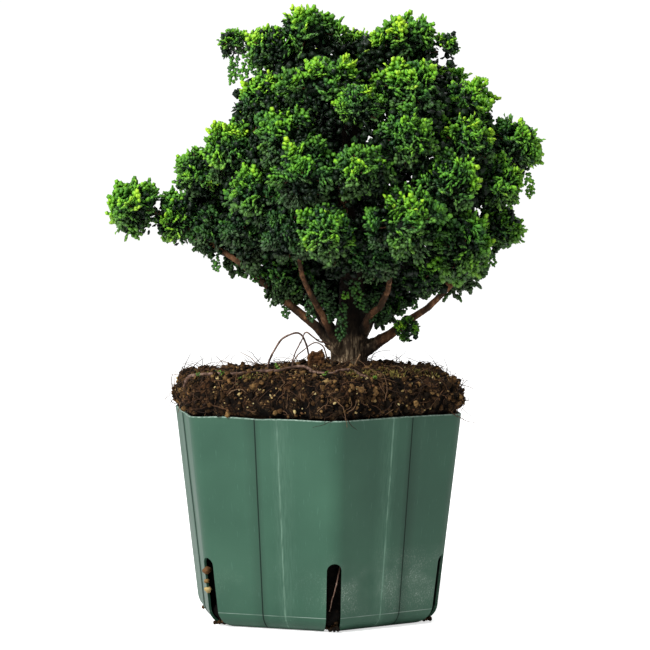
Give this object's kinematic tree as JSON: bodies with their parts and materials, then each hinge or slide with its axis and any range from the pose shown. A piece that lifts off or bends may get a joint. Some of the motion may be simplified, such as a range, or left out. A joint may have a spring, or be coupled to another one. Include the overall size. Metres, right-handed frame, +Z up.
{
  "type": "hinoki cypress bonsai in a nursery pot",
  "caption": "Young hinoki cypress bonsai with dense fan-shaped foliage on a forked trunk, its root ball standing proud of a hexagonal plastic slit pot.",
  "frame": {"origin": "centre of the flat underside of the pot", "axes": "+Z up along the pot and the tree; the front of the tree looks towards -Y, and +X is to the right as seen from the front"},
  "size_m": [0.2251, 0.1748, 0.3182],
  "materials": {
    "pot_plastic": "satin",
    "soil": "matte",
    "bark": "matte",
    "root": "matte",
    "bark_chip": "matte",
    "foliage_new": "satin",
    "foliage_old": "satin"
  },
  "bodies": {
    "root": {"pot": "pot_plastic", "soil": "soil", "trunk": "bark", "surface_root": "root", "arching_root": "root", "bark_chip": "bark_chip", "foliage_prong_left": "foliage_new", "foliage_prong_middle": "foliage_new", "foliage_peak": "foliage_new", "foliage_top_middle": "foliage_new", "foliage_top_right": "foliage_new", "foliage_top_right_tip": "foliage_new", "foliage_high_spray": "foliage_new", "foliage_shoulder_left": "foliage_new", "foliage_front_top": "foliage_new", "foliage_front_top_right": "foliage_new", "foliage_shoulder_right": "foliage_new", "foliage_arm_tip_right": "foliage_new", "foliage_front_high_left": "foliage_new", "foliage_side_high_left": "foliage_new", "foliage_side_left": "foliage_new", "foliage_far_left_tip": "foliage_new", "foliage_far_left_middle": "foliage_new", "foliage_front_left": "foliage_new", "foliage_front_middle": "foliage_new", "foliage_front_high_right": "foliage_new", "foliage_front_right": "foliage_new", "foliage_front_right_low": "foliage_new", "foliage_side_low_right": "foliage_new", "foliage_arm_low_right": "foliage_new", "foliage_edge_right": "foliage_new", "foliage_front_left_inner": "foliage_new", "foliage_low_sprig": "foliage_new", "foliage_side_right": "foliage_new", "foliage_front_centre": "foliage_new", "foliage_back_top_left": "foliage_new", "foliage_back_top": "foliage_new", "foliage_back_top_right": "foliage_new", "foliage_back_high_left": "foliage_new", "foliage_back_high": "foliage_new", "foliage_back_high_right": "foliage_new", "foliage_back_side_right": "foliage_new", "foliage_back_side_left": "foliage_new", "foliage_back_left": "foliage_new", "foliage_back_middle": "foliage_new", "foliage_back_right": "foliage_new", "foliage_far_left_inner": "foliage_old", "foliage_skirt_right": "foliage_old", "foliage_skirt_right_low": "foliage_old", "foliage_skirt_left": "foliage_old", "foliage_skirt_left_low": "foliage_old", "foliage_front_left_low": "foliage_old", "foliage_front_low": "foliage_old", "foliage_front_low_right": "foliage_old", "foliage_back_low_left": "foliage_old", "foliage_back_low": "foliage_old", "foliage_back_low_right": "foliage_old", "foliage_back_skirt_right": "foliage_old", "foliage_back_skirt": "foliage_old"}
  },
  "joints": []
}
